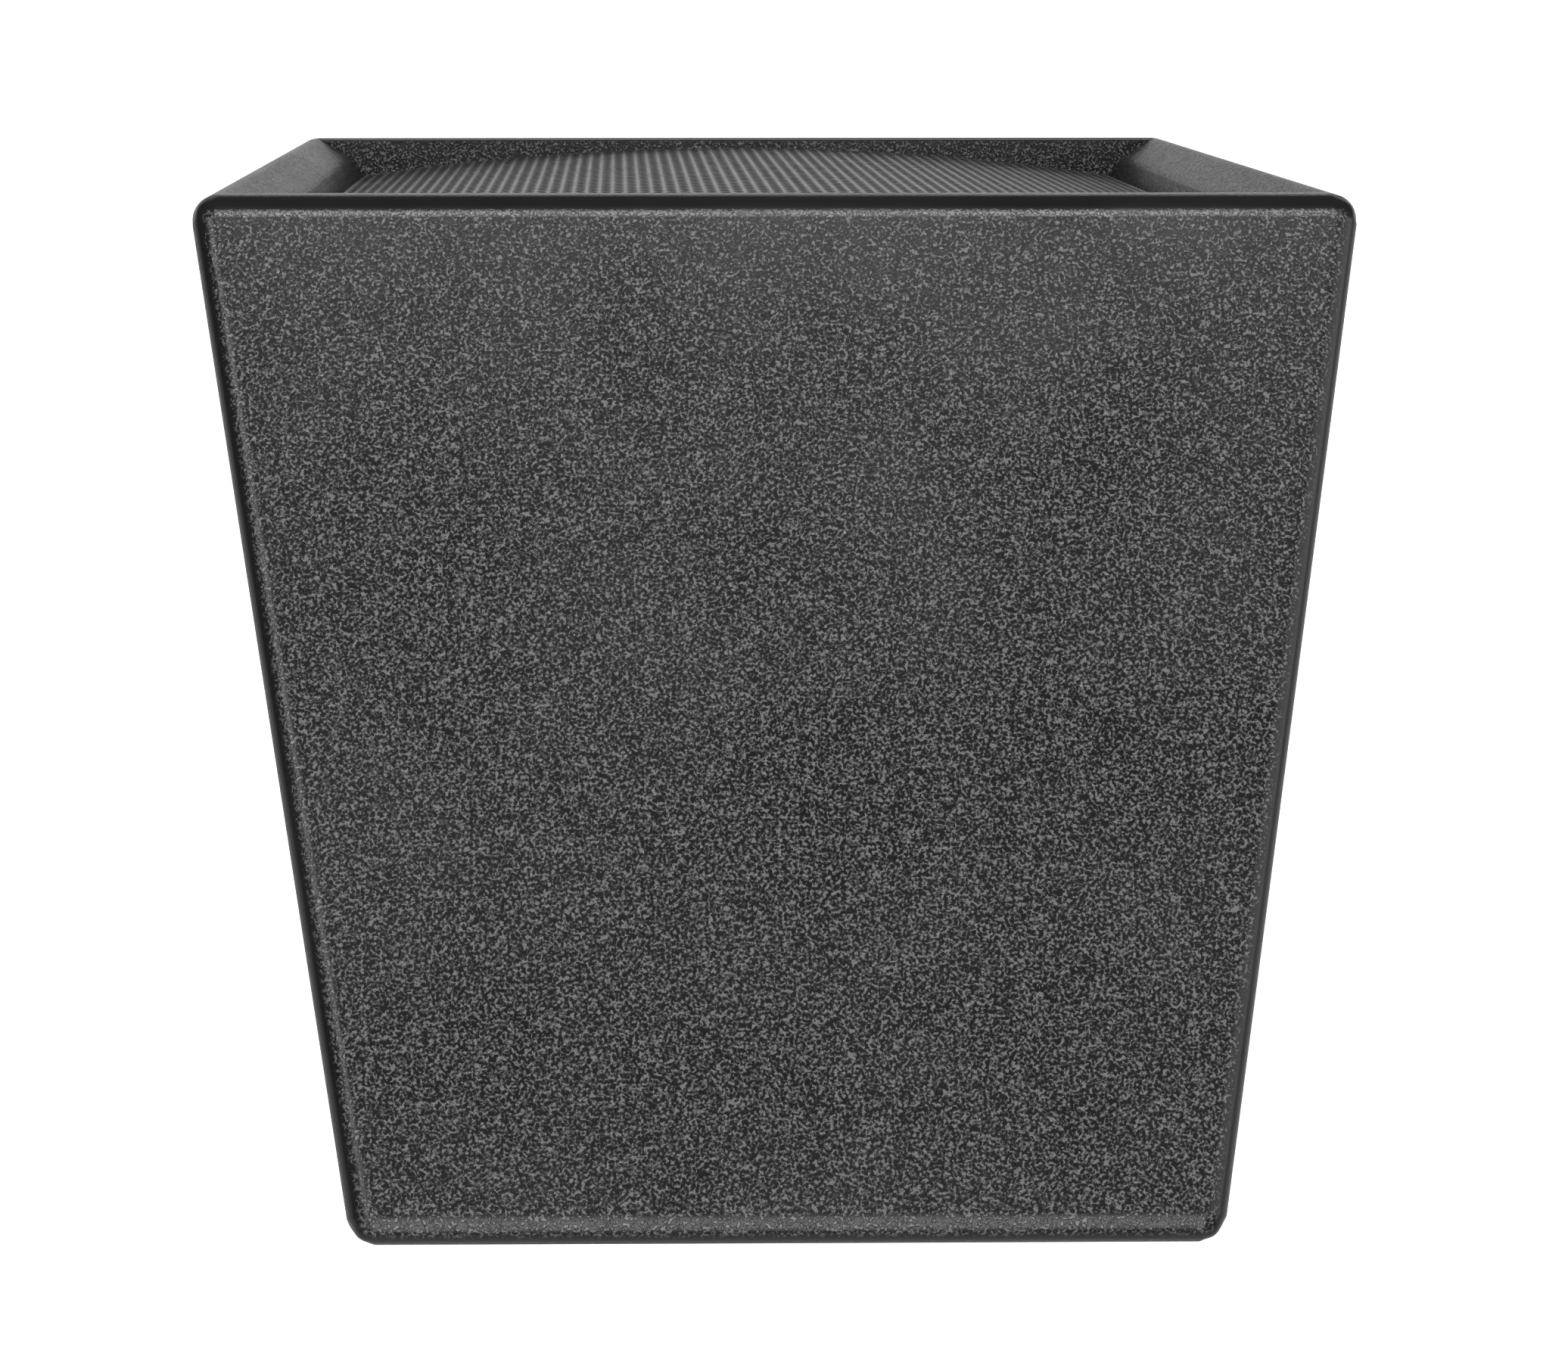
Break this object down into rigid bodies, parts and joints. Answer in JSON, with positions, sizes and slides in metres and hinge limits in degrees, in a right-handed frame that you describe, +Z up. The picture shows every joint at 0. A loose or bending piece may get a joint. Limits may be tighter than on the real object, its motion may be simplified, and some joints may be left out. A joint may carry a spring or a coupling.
{
  "type": "stage monitor wedge",
  "caption": "Low coaxial stage monitor wedge: tapered coated plywood cabinet, arched perforated grille, recessed handles, rear input plate and rubber feet.",
  "frame": {"origin": "middle of the bounding box's footprint, on the floor plane that the rubber feet stand on", "axes": "+Z up, -Y towards the performer (the way that the grille faces, tilted up 45 degrees), +Y towards the audience, +X to the right seen from the front"},
  "size_m": [0.4266, 0.6268, 0.3388],
  "materials": {
    "cabinet_coating": "textured polyurethane spray coat on plywood, charcoal black",
    "plywood": "bare birch plywood",
    "grille_steel": "perforated steel, black powder coat",
    "acoustic_foam": "open-cell foam",
    "cast_basket": "die-cast, black paint",
    "ferrite": "ground ferrite",
    "plated_steel": "zinc plated",
    "cone_paper": "pressed paper pulp, doped",
    "copper": "enamelled copper winding",
    "treated_cloth": "resin-treated cloth",
    "moulded_plastic": "glass-filled moulding",
    "titanium_foil": "pressed titanium foil",
    "rubber": "moulded",
    "circuit_board": "glass-epoxy laminate",
    "capacitor_film": "wrapped film",
    "wadding": "polyester fibre",
    "black_steel": "black"
  },
  "bodies": {
    "cabinet": {"acoustic_wadding": "wadding", "back_panel": "cabinet_coating", "baffle_board": "plywood", "bass_inductor": "copper", "carry_handle_left": "moulded_plastic", "carry_handle_right": "moulded_plastic", "compression_driver_housing": "cast_basket", "cone_spider": "treated_cloth", "cone_surround": "rubber", "crossover_board": "circuit_board", "crossover_capacitor": "capacitor_film", "driver_gasket": "rubber", "driver_screw_1": "black_steel", "driver_screw_2": "black_steel", "driver_screw_3": "black_steel", "driver_screw_4": "black_steel", "driver_screw_5": "black_steel", "driver_screw_6": "black_steel", "driver_screw_7": "black_steel", "driver_screw_8": "black_steel", "end_panel_left": "cabinet_coating", "end_panel_right": "cabinet_coating", "floor_panel": "cabinet_coating", "front_grille": "grille_steel", "front_panel": "cabinet_coating", "grille_cheek_left": "cabinet_coating", "grille_cheek_right": "cabinet_coating", "grille_foam": "acoustic_foam", "handle_screw_left_1": "black_steel", "handle_screw_left_2": "black_steel", "handle_screw_right_1": "black_steel", "handle_screw_right_2": "black_steel", "input_plate": "black_steel", "input_socket": "moulded_plastic", "link_socket": "moulded_plastic", "phase_plug": "moulded_plastic", "plate_screw_1": "black_steel", "plate_screw_2": "black_steel", "plate_screw_3": "black_steel", "plate_screw_4": "black_steel", "rear_panel": "cabinet_coating", "reflex_port_left": "moulded_plastic", "reflex_port_right": "moulded_plastic", "rubber_foot_front_left": "rubber", "rubber_foot_front_right": "rubber", "rubber_foot_rear_left": "rubber", "rubber_foot_rear_right": "rubber", "switch_housing": "moulded_plastic", "treble_horn": "moulded_plastic", "treble_inductor": "copper", "treble_rear_cap": "cast_basket", "wire_loom": "moulded_plastic", "woofer_back_plate": "plated_steel", "woofer_basket": "cast_basket", "woofer_magnet": "ferrite", "woofer_pole_plate": "plated_steel"},
    "cone_assembly": {"woofer_cone": "cone_paper", "voice_coil": "copper"},
    "treble_dome": {"treble_diaphragm": "titanium_foil"},
    "mode_switch": {"mode_switch_slide": "plated_steel"}
  },
  "joints": [
    {"name": "cone_slide", "type": "slide", "parent": "cabinet", "child": "cone_assembly", "axis": [0, -0.7071, 0.7071], "range_m": [-0.004, 0.004], "stiffness_N_per_m": 4000, "deforming": ["cone_surround", "cone_spider"]},
    {"name": "treble_slide", "type": "slide", "parent": "cabinet", "child": "treble_dome", "axis": [0, -0.7071, 0.7071], "range_m": [-0.0004, 0.0004], "stiffness_N_per_m": 2000},
    {"name": "mode_switch_travel", "type": "slide", "parent": "cabinet", "child": "mode_switch", "axis": [1, 0, 0], "range_m": [0, 0.004]}
  ]
}
